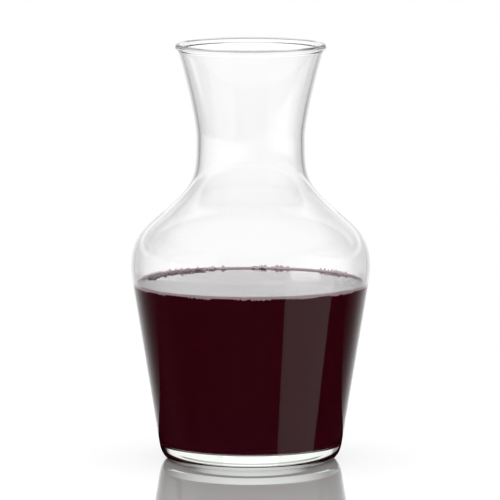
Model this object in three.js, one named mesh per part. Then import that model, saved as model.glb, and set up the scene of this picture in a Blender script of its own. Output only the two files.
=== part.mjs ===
// A one-litre wine decanter of clear pressed-and-blown glass, part filled with red wine.
// Millimetres, +Z up. The origin is the centre of the foot, on the surface that it stands on.
import * as THREE from 'three';

const { degToRad, lerp, smoothstep } = THREE.MathUtils;

// Driving dimensions of the glass.
const HEIGHT = 204.1;
const BASE_THICKNESS = 7.3;
const RING = { radius: 40.65, width: 3.6 }; // the flat ring that the glass stands on
const HEEL = { slope: degToRad(45.5), height: 7.9 }; // the curve from the ring up into the side
const PUSH_UP = 1; // how far the middle of the underside is hollowed
const INNER_HEEL_RADIUS = 4;

// The two faces of the straight side: their radius if carried down to the table, and their lean.
const OUTSIDE = { radius: 43.5, lean: degToRad(9.3) };
const INSIDE = { radius: 41, lean: degToRad(9.76) };

// The top of the straight side, the steepest point of the shoulder, the waist of the neck and the rim.
const SIDE_TOP = 86.6;
const SHOULDER = { radius: 42.65, height: 121.6, slope: degToRad(47.2) };
const NECK = { radius: 26.5, height: 158 };
const RIM = { radius: 36.2, flare: degToRad(25.7) };
const WALLS = [1.76, 1.6, 1.9, 1.8]; // at each of those four places
const BEAD = { swell: 0.62, reach: 1.7 }; // how the fire-polished lip thickens on each face

// How far each curve runs straight on from its ends before it turns.
const BELLY_REACH = 22.3;
const SHOULDER_REACH = { below: 11.6, above: 20.9 };
const NECK_REACH = { below: 19.9, above: 9.6 };
const RIM_REACH = 4.7;

// Driving dimensions of the wine.
const WINE_LEVEL = 86.4;
const MENISCUS = { rise: 0.7, reach: 0.9 };
const GAP = 0.3; // between the wine and the glass

const SEGMENTS = 56; // round the axis
const CURVE_STEPS = 7; // along each curve of the outline
const ARC_STEPS = 5; // along each small round

const COLOURS = { glass: 0xf2f6f4, wine: 0x2c050c };

// The radius of a straight face at a height, moved inwards by `inset`.
function faceRadius(face, height, inset = 0) {
  return face.radius + height * Math.tan(face.lean) - inset / Math.cos(face.lean);
}

// A point `reach` away from `start` in the direction `angle` from straight up, positive outwards.
function ahead(start, angle, reach) {
  return new THREE.Vector2(
    start.x + reach * Math.sin(angle),
    start.y + reach * Math.cos(angle),
  );
}

// A smooth curve between two points that leaves and arrives along the given directions.
function blend(start, startAngle, startReach, end, endAngle, endReach) {
  return new THREE.CubicBezierCurve(
    start,
    ahead(start, startAngle, startReach),
    ahead(end, endAngle, -endReach),
    end,
  );
}

// A round between two directions, as radius-height points.
function arc(centre, radius, from, to) {
  const points = [];
  for (let i = 0; i <= ARC_STEPS; i += 1) {
    const angle = lerp(from, to, i / ARC_STEPS);
    points.push(new THREE.Vector2(
      centre.x + radius * Math.cos(angle),
      centre.y + radius * Math.sin(angle),
    ));
  }
  return points;
}

// Drops points that repeat the one before them.
function withoutRepeats(points) {
  return points.filter((point, i) => i === 0 || point.distanceTo(points[i - 1]) > 1e-6);
}

// The middle of the rounded lip, whose top is at the full height.
function lipMiddle() {
  const across = (WALLS[3] / 2) * Math.cos(RIM.flare);
  return new THREE.Vector2(RIM.radius - across, HEIGHT - WALLS[3] / 2 - BEAD.swell);
}

// Stations along the outside of the wall, from the top of the straight side to the rim.
function upperWall() {
  const sideTop = new THREE.Vector2(faceRadius(OUTSIDE, SIDE_TOP), SIDE_TOP);
  const shoulder = new THREE.Vector2(SHOULDER.radius, SHOULDER.height);
  const neck = new THREE.Vector2(NECK.radius, NECK.height);
  const rim = ahead(lipMiddle(), RIM.flare + Math.PI / 2, WALLS[3] / 2);
  const curves = [
    blend(sideTop, OUTSIDE.lean, BELLY_REACH, shoulder, -SHOULDER.slope, SHOULDER_REACH.below),
    blend(shoulder, -SHOULDER.slope, SHOULDER_REACH.above, neck, 0, NECK_REACH.below),
    blend(neck, 0, NECK_REACH.above, rim, RIM.flare, RIM_REACH),
  ];
  return curves.flatMap((curve, k) => {
    const stations = [];
    for (let i = 0; i <= CURVE_STEPS; i += 1) {
      const point = curve.getPoint(i / CURVE_STEPS);
      const nearness = 1 - point.distanceTo(rim) / BEAD.reach;
      stations.push({
        point,
        along: curve.getTangent(i / CURVE_STEPS),
        wall: lerp(WALLS[k], WALLS[k + 1], i / CURVE_STEPS),
        swell: BEAD.swell * smoothstep(nearness, 0, 1),
      });
    }
    return stations;
  });
}

// The stations' points moved towards the axis side by the distance that `depth` gives for each.
function movedInwards(stations, depth) {
  return stations.map((station) => new THREE.Vector2(
    station.point.x - station.along.y * depth(station),
    station.point.y + station.along.x * depth(station),
  ));
}

// The round that joins the glass's floor to its inside face, with both moved inwards by `inset`.
function innerHeel(inset) {
  const height = BASE_THICKNESS + inset + INNER_HEEL_RADIUS;
  const radius = faceRadius(INSIDE, height, INNER_HEEL_RADIUS + inset);
  const centre = new THREE.Vector2(radius, height);
  return arc(centre, INNER_HEEL_RADIUS, -Math.PI / 2, -INSIDE.lean);
}

// The hollowed underside and the curve from its flat ring into the side, from the axis outwards.
function underside() {
  const hollow = new THREE.QuadraticBezierCurve(
    new THREE.Vector2(0, PUSH_UP),
    new THREE.Vector2((RING.radius - RING.width) / 2, PUSH_UP),
    new THREE.Vector2(RING.radius - RING.width, 0),
  );
  const ring = new THREE.Vector2(RING.radius, 0);
  const side = new THREE.Vector2(faceRadius(OUTSIDE, HEEL.height), HEEL.height);
  const span = ring.distanceTo(side);
  const heel = blend(ring, HEEL.slope, span * 0.25, side, OUTSIDE.lean, span * 0.59);
  return [...hollow.getPoints(CURVE_STEPS), ...heel.getPoints(CURVE_STEPS)];
}

// Turns an outline round the +Z axis into one closed mesh.
function turned(name, outline, colour, roughness) {
  const geometry = new THREE.LatheGeometry(withoutRepeats(outline), SEGMENTS);
  geometry.rotateX(Math.PI / 2);
  const material = new THREE.MeshStandardMaterial({ color: colour, roughness, metalness: 0 });
  const mesh = new THREE.Mesh(geometry, material);
  mesh.name = name;
  return mesh;
}

function decanterGlass() {
  const wall = upperWall();
  const outline = [
    ...underside(),
    ...movedInwards(wall, (station) => -station.swell),
    ...arc(lipMiddle(), WALLS[3] / 2 + BEAD.swell, -RIM.flare, Math.PI - RIM.flare),
    ...movedInwards(wall, (station) => station.wall + station.swell).reverse(),
    ...innerHeel(0).reverse(),
    new THREE.Vector2(0, BASE_THICKNESS),
  ];
  return turned('decanter_glass', outline, COLOURS.glass, 0.03);
}

// The wine's side follows the inside of the wall and creeps up it a little at the top.
function wine() {
  const top = WINE_LEVEL + MENISCUS.rise;
  const edge = new THREE.Vector2(faceRadius(INSIDE, top, GAP), top);
  const surface = new THREE.QuadraticBezierCurve(
    edge,
    new THREE.Vector2(edge.x - MENISCUS.reach / 3, WINE_LEVEL),
    new THREE.Vector2(edge.x - MENISCUS.reach, WINE_LEVEL),
  );
  const outline = [
    new THREE.Vector2(0, BASE_THICKNESS + GAP),
    ...innerHeel(GAP),
    ...surface.getPoints(ARC_STEPS),
    new THREE.Vector2(0, WINE_LEVEL),
  ];
  return turned('wine', outline, COLOURS.wine, 0.05);
}

const decanter = new THREE.Group();
decanter.add(decanterGlass(), wine());

export default decanter;
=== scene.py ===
import math
import random

import bpy
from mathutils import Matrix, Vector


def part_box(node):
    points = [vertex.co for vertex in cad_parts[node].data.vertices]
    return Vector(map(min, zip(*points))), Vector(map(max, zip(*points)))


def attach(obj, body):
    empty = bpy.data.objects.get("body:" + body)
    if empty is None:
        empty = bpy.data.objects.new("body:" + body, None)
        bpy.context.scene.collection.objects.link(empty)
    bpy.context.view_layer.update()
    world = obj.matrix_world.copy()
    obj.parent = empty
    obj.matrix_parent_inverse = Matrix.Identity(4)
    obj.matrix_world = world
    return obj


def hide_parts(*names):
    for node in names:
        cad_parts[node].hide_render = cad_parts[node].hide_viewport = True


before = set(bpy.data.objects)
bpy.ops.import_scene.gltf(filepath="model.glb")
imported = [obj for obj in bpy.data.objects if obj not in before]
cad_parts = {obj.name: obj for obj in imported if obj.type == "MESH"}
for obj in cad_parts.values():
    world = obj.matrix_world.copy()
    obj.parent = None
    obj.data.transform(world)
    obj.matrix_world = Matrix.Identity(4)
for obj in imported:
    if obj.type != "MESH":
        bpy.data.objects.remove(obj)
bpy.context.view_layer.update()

# The outline below is in model millimetres, and MM turns it into the frame's metres.
GLASS_LOW, GLASS_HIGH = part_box("decanter_glass")
WINE_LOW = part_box("wine")[0]
HEIGHT = 204.1
MM = (GLASS_HIGH[2] - GLASS_LOW[2]) / HEIGHT

# Glass. The straight side's two faces are given by where they would meet the table and their slope.
BASE_THICKNESS = 7.3
OUTSIDE = (43.5, math.radians(9.3))
INSIDE = (41.0, math.radians(9.76))
HEEL_HEIGHT = 7.9  # where the side starts to turn in
RING_RADIUS = 40.65  # the outer edge of the flat ring that it stands on
HEEL_SLOPE = math.radians(45.5)  # at that edge, from straight up
RING_WIDTH = 3.6
PUSH_UP = 1.0
INNER_HEEL_RADIUS = 4.0
TAPER_TOP = 86.6
SHOULDER = (42.65, 121.6)
SHOULDER_SLOPE = math.radians(47.2)
NECK = (26.5, 158.0)
RIM_RADIUS = 36.2
RIM_FLARE = math.radians(25.7)
WALLS = (1.76, 1.6, 1.9, 1.8)  # at the top of the straight side, the shoulder, the neck and the rim
BEAD = 0.62  # how much the fire-polished lip swells on each face
BEAD_REACH = 1.7
BELLY_REACH = 22.3
SHOULDER_REACH_BELOW = 11.6
SHOULDER_REACH_ABOVE = 20.9
NECK_REACH_BELOW = 19.9
NECK_REACH_ABOVE = 9.6
RIM_REACH = 4.7

# Wine.
WINE_LEVEL = 86.4
MENISCUS_RISE = 0.7
MENISCUS_REACH = 0.9
MENISCUS_DEPTH = 0.45  # how far down the wall the thin edge stays light
HANG_MOST = 0.85  # how far froth hangs down the wall below the edge, at the most
CLIMB_MOST = 1.1  # and how far it climbs above
FILM = 0.04  # the clearance between the wine pieces and the glass
REBATE = 0.02  # and between the wine and its thin edge

# Stretches of froth on the wine's edge: from and to in degrees from the middle of that side, how many
# bubbles, their largest radius, how far in they spread, and which of the two froths: 0 is the pale
# froth, partly a painted highlight, and 1 is the dark froth, painted shade.
FROTH_BACK = (
    (-74, -57, 40, 0.80, 4.0, 1),
    (-57, -27, 60, 0.80, 2.0, 0),
    (-54, -28, 44, 0.50, 9.0, 1),
    (-25, -19, 12, 0.45, 5.0, 1),
    (-16, -14, 3, 0.40, 4.0, 1),
    (1, 8, 11, 0.45, 3.0, 1),
    (9, 20, 5, 0.40, 4.0, 1),
    (38, 47, 5, 0.40, 3.0, 1),
    (48, 60, 18, 0.60, 4.0, 0),
)
FROTH_FRONT = (
    (-71, -60, 16, 0.40, 1.0, 0),
    (-53, -47, 8, 0.35, 1.0, 0),
    (-32, -20, 12, 0.40, 1.0, 0),
    (-8, 10, 20, 0.40, 1.0, 0),
    (18, 35, 14, 0.35, 1.0, 0),
    (43, 61, 20, 0.40, 1.0, 0),
)

SEGMENTS = 240
EDGE_SEGMENTS = 720  # round the wine, whose froth is fine
CURVE_STEPS = 40
ARC_STEPS = 20
LINE_STEPS = 16
BUBBLE_RINGS = 6
BUBBLE_LIFT = 0.03  # the clearance between a bubble and the wine
BUBBLE_SQUASH = 0.8  # half a bubble's height over its nominal radius
BUBBLE_SIDES = 12


# ---------------------------------------------------------------- outlines


def side_radius(side, height):
    """The radius of one face of the straight side at a height."""
    return side[0] + height * math.tan(side[1])


def ahead(start, angle, reach):
    """A point `reach` from start, in a direction measured from straight up, positive outwards."""
    return (start[0] + reach * math.sin(angle), start[1] + reach * math.cos(angle))


def blend(start, start_angle, start_reach, end, end_angle, end_reach):
    """Points on a curve that leaves and arrives along the given directions."""
    a = ahead(start, start_angle, start_reach)
    b = ahead(end, end_angle, -end_reach)
    points = []
    for i in range(CURVE_STEPS + 1):
        t = i / CURVE_STEPS
        weights = ((1 - t) ** 3, 3 * (1 - t) ** 2 * t, 3 * (1 - t) * t * t, t**3)
        points.append(
            tuple(
                sum(w * p[axis] for w, p in zip(weights, (start, a, b, end)))
                for axis in (0, 1)
            )
        )
    return points


def arc(centre, radius, first, last):
    """Points on a round between two angles from the radial direction."""
    steps = [first + (last - first) * i / ARC_STEPS for i in range(ARC_STEPS + 1)]
    return [(centre[0] + radius * math.cos(a), centre[1] + radius * math.sin(a)) for a in steps]


def line(start, end):
    """Evenly spaced points on a straight stretch."""
    return [
        tuple(start[k] + (end[k] - start[k]) * i / LINE_STEPS for k in (0, 1))
        for i in range(LINE_STEPS + 1)
    ]


def joined(*stretches):
    """One outline from stretches that share their end points."""
    outline = []
    for stretch in stretches:
        for point in stretch:
            if not outline or math.dist(point, outline[-1]) > 1e-4:
                outline.append(point)
    return outline


def offset_inwards(points, distances):
    """The outline moved towards the axis side, at right angles to itself."""
    moved = []
    for i, (point, distance) in enumerate(zip(points, distances)):
        before, after = points[max(i - 1, 0)], points[min(i + 1, len(points) - 1)]
        length = math.dist(before, after)
        along = ((after[0] - before[0]) / length, (after[1] - before[1]) / length)
        moved.append((point[0] - along[1] * distance, point[1] + along[0] * distance))
    return moved


def inner_heel(inset):
    """The round that joins the glass's floor to its inside face, with both moved inwards by inset."""
    height = BASE_THICKNESS + inset + INNER_HEEL_RADIUS
    centre = side_radius(INSIDE, height) - (INNER_HEEL_RADIUS + inset) / math.cos(INSIDE[1])
    return arc((centre, height), INNER_HEEL_RADIUS, -math.pi / 2, -INSIDE[1])


def outer_heel():
    """The curve from the flat ring up into the straight side."""
    start, end = (RING_RADIUS, 0.0), (side_radius(OUTSIDE, HEEL_HEIGHT), HEEL_HEIGHT)
    chord = math.dist(start, end)
    return blend(start, HEEL_SLOPE, chord * 0.25, end, OUTSIDE[1], chord * 0.59)


RIM_HALF = WALLS[-1] / 2 + BEAD
RIM_MIDDLE = (RIM_RADIUS - WALLS[-1] / 2 * math.cos(RIM_FLARE), HEIGHT - RIM_HALF)
RIM = ahead(RIM_MIDDLE, RIM_FLARE + math.pi / 2, WALLS[-1] / 2)


def upper_wall():
    """The outside of the wall from the top of the straight side to the rim, and its thickness."""
    side_top = (side_radius(OUTSIDE, TAPER_TOP), TAPER_TOP)
    slopes = (OUTSIDE[1], -SHOULDER_SLOPE, 0.0, RIM_FLARE)
    curves = (
        blend(side_top, slopes[0], BELLY_REACH, SHOULDER, slopes[1], SHOULDER_REACH_BELOW),
        blend(SHOULDER, slopes[1], SHOULDER_REACH_ABOVE, NECK, slopes[2], NECK_REACH_BELOW),
        blend(NECK, slopes[2], NECK_REACH_ABOVE, RIM, slopes[3], RIM_REACH),
    )
    points, thicknesses = [], []
    for curve, first, last in zip(curves, WALLS, WALLS[1:]):
        for i, point in enumerate(curve[:-1]):
            points.append(point)
            thicknesses.append(first + (last - first) * i / CURVE_STEPS)
    return points + [RIM], thicknesses + [WALLS[-1]]


def beaded(points, thicknesses):
    """The two faces of the upper wall, which swell into the rounded lip."""
    swell = []
    for point in points:
        near = max(0.0, 1.0 - math.dist(point, RIM) / BEAD_REACH)
        swell.append(BEAD * near * near * (3 - 2 * near))
    outer = offset_inwards(points, [-s for s in swell])
    inner = offset_inwards(points, [t + s for t, s in zip(thicknesses, swell)])
    return outer, inner


def inner_side(inset):
    """The straight inside face from the round above the floor to the top of the straight side."""
    heel = inner_heel(inset)
    points, thicknesses = upper_wall()
    top = offset_inwards(points, [t + inset for t in thicknesses])[0]
    return joined(heel, line(heel[-1], top))


def glass_outline():
    """The whole section of the glass, from the middle of the underside round to its floor."""
    heel = outer_heel()
    ring_inner = heel[0][0] - RING_WIDTH
    across = [i / LINE_STEPS for i in range(LINE_STEPS + 1)]
    hollow = [(ring_inner * t, PUSH_UP * (1 - t * t)) for t in across]
    outer, inner = beaded(*upper_wall())
    lip = arc(RIM_MIDDLE, RIM_HALF, -RIM_FLARE, math.pi - RIM_FLARE)
    inner = joined(inner_side(0.0), inner)
    floor = line(inner[0], (0.0, BASE_THICKNESS))
    return joined(hollow, heel, line(heel[-1], outer[0]), outer, lip, inner[::-1], floor)


def inner_radius(height, inset=0.0):
    """The radius of the inside face at a height on the straight side."""
    return side_radius(INSIDE, height) - inset / math.cos(INSIDE[1])


# ---------------------------------------------------------------- meshes


def turned(name, outline, material_of, materials, segments=SEGMENTS, uneven=None):
    """A closed mesh made by turning an outline round the Z axis.

    material_of gives a material's index from the middle of an outline stretch, and uneven moves an
    outline point at one segment of the turn.
    """
    verts, faces, indices, rings = [], [], [], []
    for radius, height in outline:
        if radius < 1e-6:
            rings.append([len(verts)] * segments)
            verts.append((0.0, 0.0, height * MM))
            continue
        rings.append(list(range(len(verts), len(verts) + segments)))
        for k in range(segments):
            angle = 2 * math.pi * k / segments
            r, h = uneven(radius, height, k) if uneven else (radius, height)
            verts.append((r * MM * math.cos(angle), r * MM * math.sin(angle), h * MM))
    closed = outline[0][0] >= 1e-6
    pairs = list(zip(outline, outline[1:])) + ([(outline[-1], outline[0])] if closed else [])
    for i, (low, high) in enumerate(pairs):
        index = material_of((low[0] + high[0]) / 2, (low[1] + high[1]) / 2)
        a, b = rings[i], rings[(i + 1) % len(rings)]
        for k in range(segments):
            n = (k + 1) % segments
            faces.append(list(dict.fromkeys((a[k], a[n], b[n], b[k]))))
            indices.append(index)
    return finished(name, verts, faces, indices, materials)


def finished(name, verts, faces, indices, materials):
    """A smooth-shaded object in the scene, with its normals pointing out."""
    mesh = bpy.data.meshes.new(name)
    mesh.from_pydata(verts, [], faces)
    for material in materials:
        mesh.materials.append(material)
    mesh.polygons.foreach_set("material_index", indices)
    mesh.polygons.foreach_set("use_smooth", [True] * len(faces))
    mesh.update()
    mesh.validate()
    mesh.set_sharp_from_angle(angle=math.radians(35))
    piece = bpy.data.objects.new(name, mesh)
    bpy.context.scene.collection.objects.link(piece)
    return piece


# ---------------------------------------------------------------- node helpers


def new_material(name):
    """A node material with its Principled node and the tree."""
    material = bpy.data.materials.new(name)
    material.use_nodes = True
    return material, material.node_tree, material.node_tree.nodes["Principled BSDF"]


def maths(tree, operation, *values):
    """A Math node's output for numbers and sockets."""
    node = tree.nodes.new("ShaderNodeMath")
    node.operation = operation
    for socket, value in zip(node.inputs, values):
        if isinstance(value, (int, float)):
            socket.default_value = value
        else:
            tree.links.new(value, socket)
    return node.outputs[0]


def ramp(tree, value, low, high, start=0.0, end=1.0):
    """A smooth change from start to end as value goes from low to high."""
    node = tree.nodes.new("ShaderNodeMapRange")
    node.interpolation_type = "SMOOTHSTEP"
    tree.links.new(value, node.inputs["Value"])
    node.inputs["From Min"].default_value = low
    node.inputs["From Max"].default_value = high
    node.inputs["To Min"].default_value = start
    node.inputs["To Max"].default_value = end
    return node.outputs["Result"]


def mixed(tree, factor, first, second):
    """A colour between two colours."""
    node = tree.nodes.new("ShaderNodeMix")
    node.data_type = "RGBA"
    tree.links.new(factor, node.inputs["Factor"])
    for socket, colour in zip((node.inputs[6], node.inputs[7]), (first, second)):
        if isinstance(colour, tuple):
            socket.default_value = (*colour, 1.0)
        else:
            tree.links.new(colour, socket)
    return node.outputs[2]


# ---------------------------------------------------------------- materials


GLASS_IOR = 1.5
WINE_IOR = 1.34
WINE_RED = (0.054, 0.0026, 0.0080)
# The first red is the wine's own colour; the second red is painted light, a cooler tint for the glow
# near the bottom.
WINE_RED_PAINTED_LOW_GLOW = (0.052, 0.0024, 0.0090)
WINE_PAINTED_GLOW_REACH = 0.035  # metres above the wine's bottom at which the painted glow's second red has faded out


def glass_material(name, ior, absorbs):
    """Clear fire-polished glass. ior is relative to what touches its surface."""
    material, tree, shader = new_material(name)
    shader.inputs["Base Color"].default_value = (1.0, 1.0, 1.0, 1.0)
    shader.inputs["Roughness"].default_value = 0.0
    shader.inputs["Transmission Weight"].default_value = 1.0
    shader.inputs["IOR"].default_value = ior
    if absorbs:
        volume = tree.nodes.new("ShaderNodeVolumeAbsorption")
        volume.inputs["Color"].default_value = (0.25, 0.65, 0.10, 1.0)
        volume.inputs["Density"].default_value = 0.9
        tree.links.new(volume.outputs[0], tree.nodes["Material Output"].inputs["Volume"])
    return material


def wine_body_material():
    """Wine seen through the glass: a red that is nearly black, with a painted glow that turns it a
    little cooler low down.
    """
    material, tree, shader = new_material("wine_body")
    place = tree.nodes.new("ShaderNodeSeparateXYZ")
    tree.links.new(tree.nodes.new("ShaderNodeTexCoord").outputs["Object"], place.inputs[0])
    # Painted light: the red turns a little cooler towards the wine's bottom, for the glow there.
    low = ramp(tree, place.outputs["Z"], WINE_LOW[2], WINE_LOW[2] + WINE_PAINTED_GLOW_REACH, 1.0, 0.0)
    colour = mixed(tree, low, WINE_RED, WINE_RED_PAINTED_LOW_GLOW)
    tree.links.new(colour, shader.inputs["Base Color"])
    shader.inputs["Roughness"].default_value = 0.6
    shader.inputs["Specular IOR Level"].default_value = 0.0
    return material


def wine_top_material():
    """The open surface of the wine: dark and mirror-smooth."""
    material, tree, shader = new_material("wine_top")
    shader.inputs["Base Color"].default_value = (0.036, 0.0022, 0.0062, 1.0)
    shader.inputs["Roughness"].default_value = 0.02
    shader.inputs["IOR"].default_value = WINE_IOR
    return material


def meniscus_material(name, ior):
    """The thin raised edge of the wine, through which light comes pink."""
    material, tree, shader = new_material(name)
    shader.inputs["Base Color"].default_value = (0.98, 0.80, 0.85, 1.0)
    shader.inputs["Roughness"].default_value = 0.1
    shader.inputs["Transmission Weight"].default_value = 0.5
    shader.inputs["IOR"].default_value = ior
    return material


# ---------------------------------------------------------------- pieces


def make_glass():
    """The decanter: its wetted inside face bends light as glass against wine does."""
    clear = glass_material("clear_glass", GLASS_IOR, True)
    wetted = glass_material("wetted_glass", GLASS_IOR / WINE_IOR, False)
    contact = WINE_LEVEL + MENISCUS_RISE
    inside = inner_side(0.0)

    def slot(radius, height):
        on_floor = abs(height - BASE_THICKNESS) < 1e-3 and radius < OUTSIDE[0]
        on_side = BASE_THICKNESS <= height <= contact and radius < inner_radius(height) + 0.1
        in_round = height < BASE_THICKNESS + INNER_HEEL_RADIUS and height >= BASE_THICKNESS
        in_round = in_round and radius < inside[ARC_STEPS][0] + 0.1
        return 1 if on_floor or on_side or in_round else 0

    piece = turned("decanter_glass_body", glass_outline(), slot, (clear, wetted))
    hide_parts("decanter_glass")
    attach(piece, "root")


def froth_unevenness():
    """How far the wine's thin edge hangs down and climbs at each step of the turn, where it froths."""
    chance = random.Random(5)
    hang = [chance.uniform(0.0, 0.12) for _ in range(EDGE_SEGMENTS)]
    climb = [chance.uniform(0.0, 0.2) for _ in range(EDGE_SEGMENTS)]
    for middle, stretches, extent in ((90, FROTH_BACK, climb), (270, FROTH_FRONT, hang)):
        for first, last, *_ in stretches:
            turn = -1 if middle == 90 else 1
            ends = sorted((middle + turn * first, middle + turn * last))
            for degrees in range(round(ends[0] * 2), round(ends[1] * 2)):
                k = round(degrees / 720 * EDGE_SEGMENTS) % EDGE_SEGMENTS
                extent[k] = chance.choice((0.0, 0.3, 0.6, 1.0))
    return hang, climb


HANG, CLIMB = froth_unevenness()


def uneven_edge(radius, height, k):
    """Moves points of the thin edge down or up the wall by that step's froth."""
    at_wall = radius > inner_radius(height) - MENISCUS_REACH
    move = 0.0
    if at_wall and abs(height - WINE_LEVEL + MENISCUS_DEPTH) < 0.03:
        move = -HANG[k] * HANG_MOST
    elif at_wall and height > WINE_LEVEL + 0.1:
        move = CLIMB[k] * CLIMB_MOST * (height - WINE_LEVEL) / MENISCUS_RISE
    return radius + move * math.tan(INSIDE[1]), height + move


def make_wine():
    """The wine up to its level, with a rebate round its top for the thin edge."""
    edge_height = WINE_LEVEL - MENISCUS_DEPTH
    side = [p for p in inner_side(FILM) if p[1] < edge_height - 0.01]
    edge = (inner_radius(edge_height, FILM), edge_height)
    foot = (inner_radius(WINE_LEVEL + MENISCUS_RISE) - MENISCUS_REACH, WINE_LEVEL)
    bottom = line((0.0, side[0][1]), side[0])
    outline = joined(bottom, side, [edge, foot], line(foot, (0.0, WINE_LEVEL)))

    def slot(radius, height):
        return 1 if abs(height - WINE_LEVEL) < 1e-3 and radius < foot[0] else 0

    materials = (wine_body_material(), wine_top_material())
    piece = turned("wine_body", outline, slot, materials, EDGE_SEGMENTS, uneven_edge)
    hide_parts("wine")
    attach(piece, "root")


def make_meniscus():
    """The thin ring of wine that climbs the wall, in the rebate round the wine body's top."""
    bottom = WINE_LEVEL - MENISCUS_DEPTH + REBATE
    top = WINE_LEVEL + MENISCUS_RISE
    outer = inner_radius(top, FILM)
    foot = (outer - MENISCUS_REACH, WINE_LEVEL + REBATE)
    curve = []
    for i in range(LINE_STEPS + 1):
        across = i / LINE_STEPS
        rise = (top - foot[1]) * (1 - across) ** 1.3
        curve.append((outer - MENISCUS_REACH * across, foot[1] + rise))
    outline = joined([foot, (inner_radius(bottom, FILM), bottom)], curve[:-1])

    def slot(radius, height):
        on_side = abs(radius - inner_radius(height, FILM)) < 0.02 and height < top
        below = height < foot[1]
        return 1 if on_side or below else 0

    materials = (meniscus_material("wine_edge", WINE_IOR), meniscus_material("wine_edge_wetted", 1.0))
    piece = turned("wine_meniscus", outline, slot, materials, EDGE_SEGMENTS, uneven_edge)
    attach(piece, "root")


def froth_material(name, colour, transmission):
    """A raft of small bubbles with thin wine films, in a given colour that carries a painted highlight
    or painted shade.
    """
    material, tree, shader = new_material(name)
    shader.inputs["Base Color"].default_value = (*colour, 1.0)
    shader.inputs["Roughness"].default_value = 0.15
    shader.inputs["Transmission Weight"].default_value = transmission
    shader.inputs["IOR"].default_value = 1.2
    return material


def bubble(start, centre, size):
    """One bubble that stands on the wine: its points and its faces, which count from start."""
    verts, rows, faces = [], [], []
    for k in range(BUBBLE_RINGS + 1):
        lift = math.pi * (k / BUBBLE_RINGS - 0.5)
        across = size * math.cos(lift) * (1.1 - 0.1 * math.sin(lift))
        height = WINE_LEVEL + BUBBLE_LIFT + size * BUBBLE_SQUASH * (1 + math.sin(lift))
        first = start + len(verts)
        if k in (0, BUBBLE_RINGS):
            rows.append([first] * BUBBLE_SIDES)
            verts.append((centre[0] * MM, centre[1] * MM, height * MM))
            continue
        rows.append(list(range(first, first + BUBBLE_SIDES)))
        for n in range(BUBBLE_SIDES):
            angle = 2 * math.pi * n / BUBBLE_SIDES
            x = centre[0] + across * math.cos(angle)
            y = centre[1] + across * math.sin(angle)
            verts.append((x * MM, y * MM, height * MM))
    for low, high in zip(rows, rows[1:]):
        for n in range(BUBBLE_SIDES):
            m = (n + 1) % BUBBLE_SIDES
            faces.append(list(dict.fromkeys((low[n], low[m], high[m], high[n]))))
    return verts, faces


def make_froth(name, facing, stretches, seed):
    """Bubbles that stand on the wine along its edge. facing is +1 at the back and -1 at the front."""
    chance = random.Random(seed)
    foot = inner_radius(WINE_LEVEL + MENISCUS_RISE, FILM) - MENISCUS_REACH
    verts, faces, indices = [], [], []
    for first, last, count, largest, spread, kind in stretches:
        for _ in range(count):
            size = largest * chance.uniform(0.45, 1.0)
            turn = math.radians(chance.uniform(first, last))
            out = foot - size * 1.15 - chance.uniform(0.0, spread)
            centre = (out * math.sin(turn), out * math.cos(turn) * facing)
            points, sides = bubble(len(verts), centre, size)
            verts += points
            faces += sides
            indices += [kind] * len(sides)
    # The same bubbles in two colours: the pale froth is partly a painted highlight and the dark froth
    # is painted shade.
    pale = froth_material(name + "_pale_painted_highlight", (0.97, 0.84, 0.87), 0.8)
    dark = froth_material(name + "_dark_painted_shade", (0.50, 0.36, 0.41), 0.5)
    piece = finished(name, verts, faces, indices, (pale, dark))
    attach(piece, "root")


# ---------------------------------------------------------------- studio


# Metres from the middle at which the table top starts to fade and at which it ends.
FLOOR_SOLID = 0.30
FLOOR_END = 0.60
POLISH = 0.42  # the table top's share of mirror gloss
POLISH_ROUGHNESS = 0.04


def make_floor():
    """A glossy white table top that fades into the white background."""
    material, tree, shader = new_material("studio_floor")
    shader.inputs["Base Color"].default_value = (0.98, 0.98, 0.98, 1.0)
    shader.inputs["Roughness"].default_value = POLISH_ROUGHNESS
    shader.inputs["IOR"].default_value = 1.5
    polish = tree.nodes.new("ShaderNodeBsdfGlossy")
    polish.inputs["Color"].default_value = (1.0, 1.0, 1.0, 1.0)
    polish.inputs["Roughness"].default_value = POLISH_ROUGHNESS
    polished = tree.nodes.new("ShaderNodeMixShader")
    polished.inputs[0].default_value = POLISH
    tree.links.new(shader.outputs[0], polished.inputs[1])
    tree.links.new(polish.outputs[0], polished.inputs[2])
    place = tree.nodes.new("ShaderNodeTexCoord").outputs["Object"]
    distance = tree.nodes.new("ShaderNodeVectorMath")
    distance.operation = "LENGTH"
    tree.links.new(place, distance.inputs[0])
    fade = ramp(tree, distance.outputs["Value"], FLOOR_SOLID, FLOOR_END)
    clear = tree.nodes.new("ShaderNodeBsdfTransparent")
    mix = tree.nodes.new("ShaderNodeMixShader")
    tree.links.new(fade, mix.inputs[0])
    tree.links.new(polished.outputs[0], mix.inputs[1])
    tree.links.new(clear.outputs[0], mix.inputs[2])
    tree.links.new(mix.outputs[0], tree.nodes["Material Output"].inputs["Surface"])
    verts, faces = [(0.0, 0.0, 0.0)], []
    for k in range(SEGMENTS):
        angle = 2 * math.pi * k / SEGMENTS
        verts.append((FLOOR_END * math.cos(angle), FLOOR_END * math.sin(angle), 0.0))
        faces.append((0, k + 1, (k + 1) % SEGMENTS + 1))
    floor = finished("floor", verts, faces, [0] * len(faces), (material,))
    floor.location.z = GLASS_LOW[2] - 0.00002
    floor.visible_glossy = False
    floor.visible_transmission = False


# The dark card's range in x and in y, in model millimetres.
CARD = ((-400.0, 400.0), (-20.0, 64.0))


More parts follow.
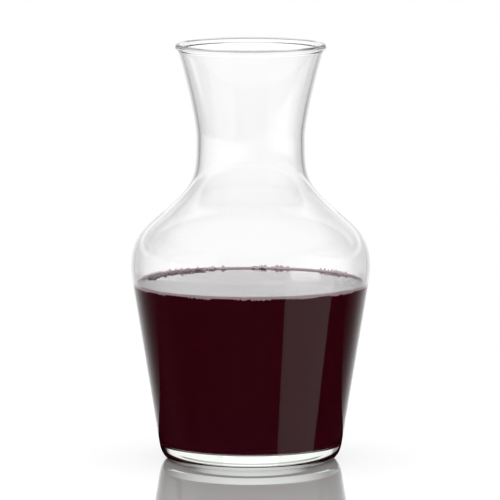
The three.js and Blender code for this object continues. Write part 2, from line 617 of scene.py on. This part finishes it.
def make_card():
    """A dark card laid on the table, which only the body's mirror reflections meet."""
    material, tree, shader = new_material("dark_card")
    shader.inputs["Base Color"].default_value = (0.0, 0.0, 0.0, 1.0)
    shader.inputs["Specular IOR Level"].default_value = 0.0
    (left, right), (near, far) = CARD
    height = GLASS_LOW[2] - 0.00003
    corners = ((left, near), (right, near), (right, far), (left, far))
    verts = [(x * MM, y * MM, height) for x, y in corners]
    card = finished("dark_card", verts, [(0, 1, 2, 3)], [0], (material,))
    card.visible_camera = False
    card.visible_diffuse = False
    card.visible_transmission = False
    card.visible_shadow = False


OUTLINE = 0.28  # how much darker light that is trapped in the upper wall is drawn

# How bright the backdrop is at an angle in degrees from its middle.
BACKDROP_FALL = (
    (0, 1.0),
    (6, 0.97),
    (12, 0.91),
    (20, 0.79),
    (27, 0.65),
    (33, 0.49),
    (39, 0.34),
    (47, 0.18),
    (56, 0.08),
    (75, 0.0),
    (180, 0.0),
)


def falloff(tree, offset):
    """How bright a backdrop is at an angle from its middle."""
    node = tree.nodes.new("ShaderNodeFloatCurve")
    tree.links.new(maths(tree, "DIVIDE", offset, math.pi), node.inputs["Value"])
    curve = node.mapping.curves[0]
    points = [(angle / 180, value) for angle, value in BACKDROP_FALL]
    while len(curve.points) < len(points):
        curve.points.new(0.5, 0.5)
    for point, (x, y) in zip(curve.points, points):
        point.location = (x, y)
        point.handle_type = "AUTO_CLAMPED"
    node.mapping.update()
    return node.outputs[0]


def panel(tree, azimuth, elevation, side, spread, strength):
    """The light from one panel: side is its shape in azimuth, spread its height range."""
    turn = maths(tree, "SUBTRACT", azimuth, math.radians(side[0]))
    offset = maths(tree, "ABSOLUTE", maths(tree, "WRAP", turn, math.pi, -math.pi))
    if len(side) == 1:
        across = falloff(tree, offset)
    else:
        across = ramp(tree, offset, math.radians(side[1]), math.radians(side[2]), 1.0, 0.0)
    up = maths(tree, "ABSOLUTE", maths(tree, "SUBTRACT", elevation, math.radians(spread[0])))
    tall = ramp(tree, up, math.radians(spread[1]), math.radians(spread[2]), 1.0, 0.0)
    return maths(tree, "MULTIPLY", maths(tree, "MULTIPLY", across, tall), strength)


def make_world():
    """A white studio: white where the camera looks, and panels with dark gaps for the glass.

    Azimuth is in degrees from +Y towards +X, and elevation in degrees above the horizon.
    """
    world = bpy.data.worlds.new("studio")
    world.use_nodes = True
    bpy.context.scene.world = world
    tree = world.node_tree
    background = tree.nodes["Background"]
    direction = tree.nodes.new("ShaderNodeSeparateXYZ")
    tree.links.new(tree.nodes.new("ShaderNodeTexCoord").outputs["Generated"], direction.inputs[0])
    x, y, z = direction.outputs
    azimuth = maths(tree, "ARCTAN2", x, y)
    elevation = maths(tree, "ARCSINE", z)
    path = tree.nodes.new("ShaderNodeLightPath")

    def panels(rows):
        total = None
        for side, spread, strength in rows:
            light = panel(tree, azimuth, elevation, side, spread, strength)
            total = light if total is None else maths(tree, "MAXIMUM", total, light)
        return total

    around = panels(
        (
            ((0,), (12, 30, 42), 1.08),  # the backdrop behind the main view
            ((-90,), (0, 10, 13), 1.08),  # behind the side view
            ((117.5, 26.5, 27.5), (0, 32, 36), 0.47),  # the softbox beside the camera
        )
    )
    behind = panels(
        (
            ((-45,), (-26, 6, 9), 1.08),  # behind the front right view
            ((135,), (-15, 5, 8), 1.08),  # behind the rear view
        )
    )
    high = panels(
        (
            ((0, 11, 16), (7.5, 2, 3.5), 1.5),  # the light that the wine mirrors
            ((0, 52, 62), (7.5, 2, 3.5), 1.1),  # the light that the thick base bends to the camera
            ((1.3, 0.42, 0.62), (7.18, 0.25, 0.33), 1.95),  # a lamp, the bright patch on the wine
        )
    )
    front = panels((((180, 95, 120), (40, 50, 54), 0.7),))
    overhead = ramp(tree, elevation, math.radians(30), math.radians(50), 0.0, 1.4)
    mirrored = maths(tree, "MAXIMUM", maths(tree, "MAXIMUM", around, front), overhead)
    # Light that runs inside the wall of the upper glass and leaves it is drawn darker, as an outline.
    once = maths(tree, "COMPARE", path.outputs["Transmission Depth"], 2.0, 0.5)
    trapped = maths(tree, "GREATER_THAN", path.outputs["Glossy Depth"], 0.5)
    outline = maths(tree, "MULTIPLY", maths(tree, "MULTIPLY", once, trapped), OUTLINE)
    kept = maths(tree, "SUBTRACT", 1.0, outline)
    through = maths(tree, "MULTIPLY", maths(tree, "MAXIMUM", around, behind), kept)
    below = ramp(tree, elevation, math.radians(-42), math.radians(-22), 0.85, 0.0)
    through = maths(tree, "MAXIMUM", maths(tree, "MAXIMUM", through, high), below)
    is_through = path.outputs["Is Transmission Ray"]
    seen = maths(
        tree,
        "ADD",
        maths(tree, "MULTIPLY", through, is_through),
        maths(tree, "MULTIPLY", mirrored, maths(tree, "SUBTRACT", 1.0, is_through)),
    )
    soft_lit = maths(tree, "GREATER_THAN", path.outputs["Diffuse Depth"], 0.5)
    plain = maths(tree, "MAXIMUM", path.outputs["Is Camera Ray"], soft_lit)
    soft = maths(tree, "MULTIPLY", seen, maths(tree, "SUBTRACT", 1.0, plain))
    tree.links.new(maths(tree, "ADD", soft, plain), background.inputs["Strength"])
    background.inputs["Color"].default_value = (1.0, 1.0, 1.0, 1.0)


CAMERA_DISTANCE = 3150.0
CAMERA_SIDE = -0.34
CAMERA_HEIGHT = 501.0
CAMERA_PITCH = math.radians(7.206)
CAMERA_LENS = 467.0


def make_camera():
    """A long lens, a little above the rim."""
    data = bpy.data.cameras.new("camera")
    data.lens = CAMERA_LENS
    data.clip_end = 20.0
    camera = bpy.data.objects.new("camera", data)
    camera.location = (CAMERA_SIDE * MM, -CAMERA_DISTANCE * MM, CAMERA_HEIGHT * MM)
    camera.rotation_euler = (math.pi / 2 - CAMERA_PITCH, 0.0, 0.0)
    bpy.context.scene.collection.objects.link(camera)
    bpy.context.scene.camera = camera


def light_paths():
    """Enough bounces for light that is trapped in the thick base, and plain display colours."""
    cycles = bpy.context.scene.cycles
    cycles.max_bounces = 24
    cycles.glossy_bounces = 16
    cycles.transmission_bounces = 24
    bpy.context.scene.view_settings.view_transform = "Standard"


make_camera()
make_glass()
make_wine()
make_meniscus()
make_froth("froth_back", 1, FROTH_BACK, 11)
make_froth("froth_front", -1, FROTH_FRONT, 12)
make_floor()
make_card()
make_world()
light_paths()
